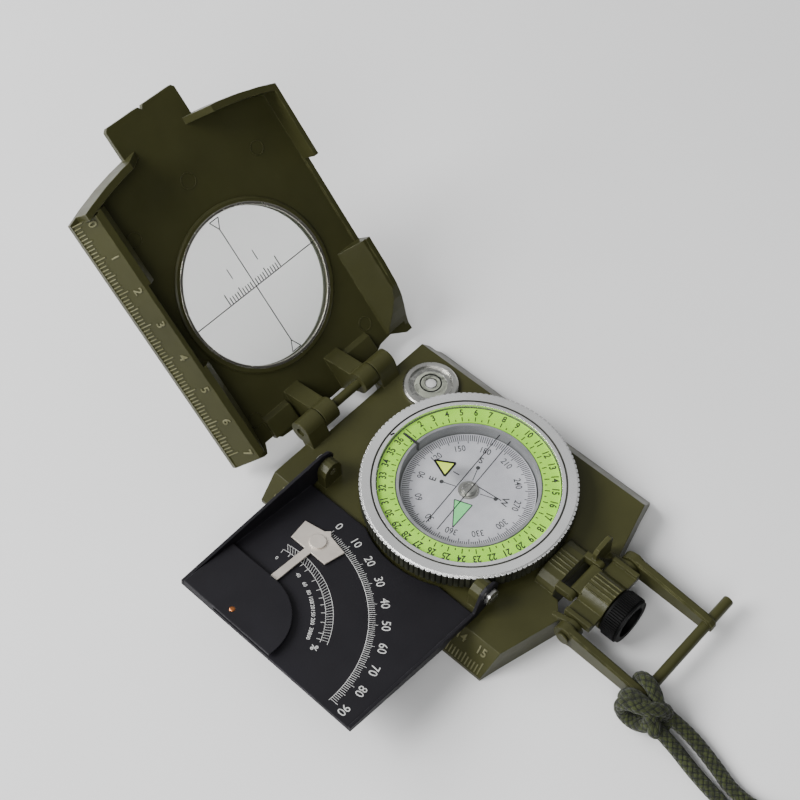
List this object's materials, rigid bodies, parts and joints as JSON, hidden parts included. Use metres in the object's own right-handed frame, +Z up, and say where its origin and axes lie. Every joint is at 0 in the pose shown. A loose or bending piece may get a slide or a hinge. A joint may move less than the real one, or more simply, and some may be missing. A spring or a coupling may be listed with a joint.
{
  "type": "sighting compass",
  "caption": "Folding metal sighting compass with hinged windowed lid, turning bezel, floating card, gradient tray, eyepiece, thumb ring and neck cord.",
  "frame": {"origin": "on the underside, below the middle of the bezel", "axes": "+Y from the eyepiece to the lid hinge, +Z up, +X to the right as seen from the eyepiece"},
  "size_m": [0.1013, 0.273, 0.0698],
  "materials": {
    "olive_paint": "semi-gloss olive paint",
    "black_paint": "matt black paint",
    "bezel_metal": "turned, dark knurled edge",
    "steel": "satin",
    "brass": "satin",
    "card_silver": "matt silver print",
    "lume_green": "satin",
    "black_plastic": "matt",
    "grey_plastic": "matt",
    "clear_glass": "clear",
    "vial_fluid": "clear tinted",
    "magnet_steel": "plain",
    "braid": "braided, mottled dark green"
  },
  "bodies": {
    "base": {"base_housing": "olive_paint", "bottom_cover": "olive_paint", "bottom_screws": "steel", "hinge_pin": "olive_paint", "tray_screws": "steel", "capsule_cup": "grey_plastic", "pivot_post": "brass", "lubber_pointer": "black_plastic", "vial_cup": "steel", "vial_liquid": "vial_fluid", "vial_glass": "clear_glass", "eyepiece_pin": "steel", "ring_pivot_pins": "steel"},
    "bezel": {"bezel_ring": "bezel_metal", "degree_ring": "lume_green", "bezel_glass": "clear_glass"},
    "card": {"card_disc": "card_silver", "card_magnet": "magnet_steel", "jewel_cap": "brass"},
    "lid": {"lid_shell": "olive_paint", "window_glass": "clear_glass", "window_ring": "olive_paint"},
    "tray": {"tray_sheet": "black_paint", "sector_cover": "black_paint", "pendulum_rivet": "brass"},
    "pendulum": {"pendulum": "steel"},
    "eyepiece": {"eyepiece_bracket": "olive_paint", "eyepiece_lens": "clear_glass"},
    "focus": {"focus_knob": "black_plastic", "knob_lens": "clear_glass"},
    "thumb_ring": {"ring_arm_left": "olive_paint", "ring_arm_right": "olive_paint", "ring_crossbar": "olive_paint", "lanyard_strand_a": "braid", "lanyard_strand_b": "braid", "lanyard_hank": "braid", "lanyard_knot": "braid"}
  },
  "joints": [
    {"name": "bezel_turn", "type": "hinge", "parent": "base", "child": "bezel", "pos_m": [0, 0, 0.0125], "axis": [0, 0, 1], "continuous": true},
    {"name": "card_turn", "type": "hinge", "parent": "base", "child": "card", "pos_m": [0, 0, 0.0105], "axis": [0, 0, 1], "continuous": true},
    {"name": "lid_hinge", "type": "hinge", "parent": "base", "child": "lid", "pos_m": [0, 0.0431, 0.011], "axis": [1, 0, 0], "range_deg": [-46.6, 115]},
    {"name": "tray_hinge", "type": "hinge", "parent": "base", "child": "tray", "pos_m": [-0.02, 0, 0.0128], "axis": [0, 1, 0], "range_deg": [0, 172]},
    {"name": "pendulum_swing", "type": "hinge", "parent": "tray", "child": "pendulum", "pos_m": [-0.06519, 0.0169, 0.01531], "axis": [-0.1392, 0, -0.9903], "range_deg": [-8, 92]},
    {"name": "eyepiece_fold", "type": "hinge", "parent": "base", "child": "eyepiece", "pos_m": [0, -0.0374, 0.0102], "axis": [-1, 0, 0], "range_deg": [0, 90]},
    {"name": "focus_turn", "type": "hinge", "parent": "eyepiece", "child": "focus", "pos_m": [0, -0.047, 0.00705], "axis": [0, 1, 0], "continuous": true},
    {"name": "ring_swing", "type": "hinge", "parent": "base", "child": "thumb_ring", "pos_m": [0, -0.0426, 0.0076], "axis": [-1, 0, 0], "range_deg": [0, 100]}
  ]
}
